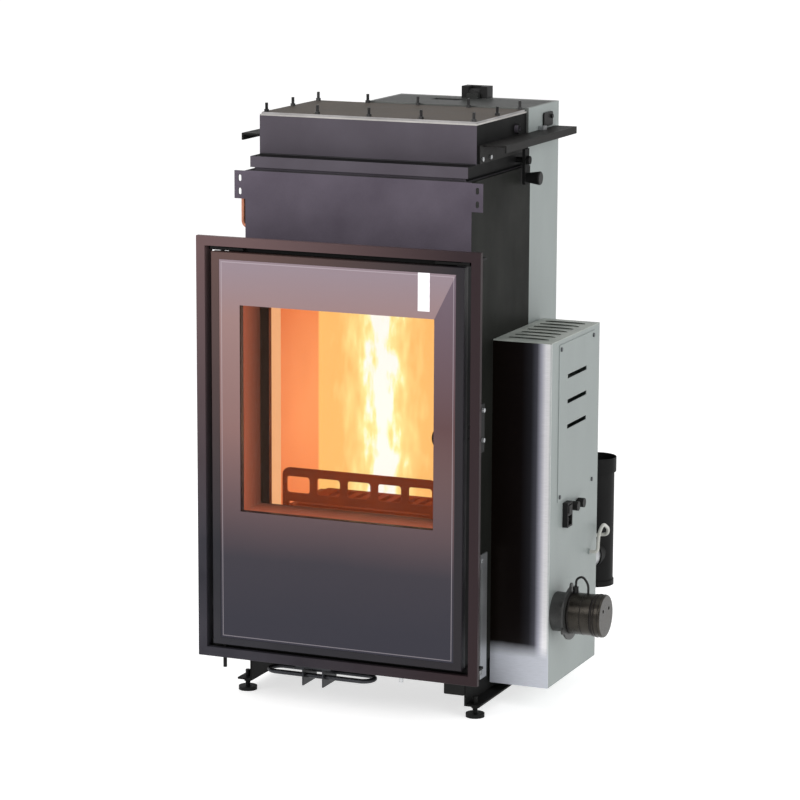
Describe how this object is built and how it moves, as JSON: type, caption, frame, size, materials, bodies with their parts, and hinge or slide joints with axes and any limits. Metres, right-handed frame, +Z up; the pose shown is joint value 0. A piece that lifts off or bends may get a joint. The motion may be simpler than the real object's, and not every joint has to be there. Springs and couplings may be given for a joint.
{
  "type": "boiler fireplace",
  "caption": "Built-in boiler fireplace: framed glass door, water-jacketed body with smoke collector, pellet hopper behind, side control cabinet with blower, levelling feet.",
  "frame": {"origin": "on the floor, under the centre of the whole object's outline", "axes": "+Z up, the door faces -Y, +X is the viewer's right, where the side cabinet stands"},
  "size_m": [0.816, 0.684, 1.277],
  "materials": {
    "frame_paint": "satin grey-violet enamel",
    "door_paint": "satin near-black enamel",
    "printed_glass": "polished, printed border",
    "clear_glass": "polished, faintly smoked",
    "seal_rope": "braided fibre",
    "brushed_plate": "fine horizontal brushing",
    "body_plate": "semi-gloss heat-proof paint",
    "dark_plate": "satin dark heat-proof paint",
    "cast": "matt, rust-brown with heat",
    "firebrick": "matt refractory",
    "zinc": "bright zinc plating",
    "copper": "bright copper",
    "sheet_grey": "satin galvanised grey",
    "gasket": "pressed fibre",
    "cover_steel": "matt grey",
    "black_plastic": "matt",
    "rubber_black": "matt",
    "motor_metal": "gunmetal",
    "board_green": "circuit board",
    "pipe_black": "satin black",
    "cable_light": "matt light grey"
  },
  "bodies": {
    "stove": {"front_frame": "frame_paint", "frame_brackets": "dark_plate", "zinc_fixings": "zinc", "door_surround": "dark_plate", "boiler_shell": "body_plate", "firebox_shell": "dark_plate", "firebox_lining": "firebrick", "baffle_plate": "firebrick", "grate": "cast", "ash_pan": "dark_plate", "smoke_tubes": "dark_plate", "collar_flange": "body_plate", "collector_box": "body_plate", "cover_gasket": "gasket", "cover_plate": "cover_steel", "cover_studs": "zinc", "copper_pipe": "copper", "side_rails": "sheet_grey", "hopper_shell": "sheet_grey", "lid_hinge": "black_plastic", "auger_tube": "dark_plate", "auger_motor": "motor_metal", "base_rails": "dark_plate", "switch_box": "black_plastic", "cabinet_shell": "sheet_grey", "cabinet_front": "brushed_plate", "cabinet_lid": "sheet_grey", "access_panel": "sheet_grey", "panel_screws": "zinc", "power_inlet": "black_plastic", "control_board": "board_green", "blower_housing": "motor_metal", "blower_motor": "motor_metal", "blower_cable": "cable_light", "pressure_hose": "cable_light", "flue_outlet": "zinc", "flue_tee": "pipe_black", "water_pipes": "dark_plate"},
    "door": {"door_frame": "door_paint", "door_glass": "printed_glass", "inner_glass": "clear_glass", "door_seals": "seal_rope", "door_badge": "brushed_plate"},
    "latch": {"latch_lever": "zinc"},
    "guard": {"log_guard": "cast"},
    "crank": {"crank_lever": "dark_plate", "crank_knob": "black_plastic"},
    "cleaner": {"turbulators": "zinc"},
    "lid": {"hopper_lid": "sheet_grey"},
    "lid_catch": {"lid_latch": "black_plastic"},
    "auger": {"auger_screw": "zinc"},
    "rotor": {"blower_rotor": "zinc"},
    "air_slide": {"air_lever": "zinc"},
    "rocker": {"rocker_switch": "black_plastic"},
    "reset_front": {"reset_button_front": "black_plastic"},
    "reset_rear": {"reset_button_rear": "black_plastic"},
    "foot_1": {"foot_front_left": "rubber_black"},
    "foot_2": {"foot_front_right": "rubber_black"},
    "foot_3": {"foot_rear_left": "rubber_black"},
    "foot_4": {"foot_rear_right": "rubber_black"}
  },
  "joints": [
    {"name": "door_hinge", "type": "hinge", "parent": "stove", "child": "door", "pos_m": [-0.354, -0.324, 0.55], "axis": [0, 0, -1], "range_deg": [0, 95]},
    {"name": "latch_turn", "type": "hinge", "parent": "door", "child": "latch", "pos_m": [0.184, -0.324, 0.612], "axis": [0, 1, 0], "range_deg": [0, 24]},
    {"name": "guard_lift", "type": "slide", "parent": "stove", "child": "guard", "axis": [0, 0, 1], "range_m": [0, 0.045]},
    {"name": "crank_turn", "type": "hinge", "parent": "stove", "child": "crank", "pos_m": [0.07, 0.05, 1.147], "axis": [-1, 0, 0], "range_deg": [0, 20]},
    {"name": "cleaner_lift", "type": "slide", "parent": "stove", "child": "cleaner", "axis": [0, 0, 1], "range_m": [0, 0.0325]},
    {"name": "lid_hinge_turn", "type": "hinge", "parent": "stove", "child": "lid", "pos_m": [-0.024, 0.264, 1.262], "axis": [-1, 0, 0], "range_deg": [0, 80]},
    {"name": "lid_catch_turn", "type": "hinge", "parent": "stove", "child": "lid_catch", "pos_m": [0.162, 0.233, 1.223], "axis": [-1, 0, 0], "range_deg": [0, 40]},
    {"name": "auger_spin", "type": "hinge", "parent": "stove", "child": "auger", "pos_m": [0.02, 0.128, 0.545], "axis": [0, 1, 0], "continuous": true},
    {"name": "blower_spin", "type": "hinge", "parent": "stove", "child": "rotor", "pos_m": [0.35, -0.059, 0.205], "axis": [1, 0, 0], "continuous": true},
    {"name": "air_slide_pull", "type": "slide", "parent": "stove", "child": "air_slide", "axis": [0, -1, 0], "range_m": [0, 0.025]},
    {"name": "rocker_tilt", "type": "hinge", "parent": "stove", "child": "rocker", "pos_m": [0.305, -0.012, 0.4185], "axis": [0, 1, 0], "range_deg": [-10, 10]},
    {"name": "reset_front_press", "type": "slide", "parent": "stove", "child": "reset_front", "axis": [-1, 0, 0], "range_m": [0, 0.003], "stiffness_N_per_m": 200},
    {"name": "reset_rear_press", "type": "slide", "parent": "stove", "child": "reset_rear", "axis": [-1, 0, 0], "range_m": [0, 0.003], "stiffness_N_per_m": 200},
    {"name": "foot_1_screw", "type": "hinge", "parent": "stove", "child": "foot_1", "pos_m": [-0.354, -0.212, 0.02], "axis": [0, 0, 1], "continuous": true},
    {"name": "foot_2_screw", "type": "hinge", "parent": "stove", "child": "foot_2", "pos_m": [0.174, -0.212, 0.02], "axis": [0, 0, 1], "continuous": true},
    {"name": "foot_3_screw", "type": "hinge", "parent": "stove", "child": "foot_3", "pos_m": [-0.354, 0.08, 0.02], "axis": [0, 0, 1], "continuous": true},
    {"name": "foot_4_screw", "type": "hinge", "parent": "stove", "child": "foot_4", "pos_m": [0.174, 0.08, 0.02], "axis": [0, 0, 1], "continuous": true}
  ],
  "couplings": [
    {"joint": "cleaner_lift", "follows": "crank_turn", "m_per_rad": 0.0882}
  ]
}
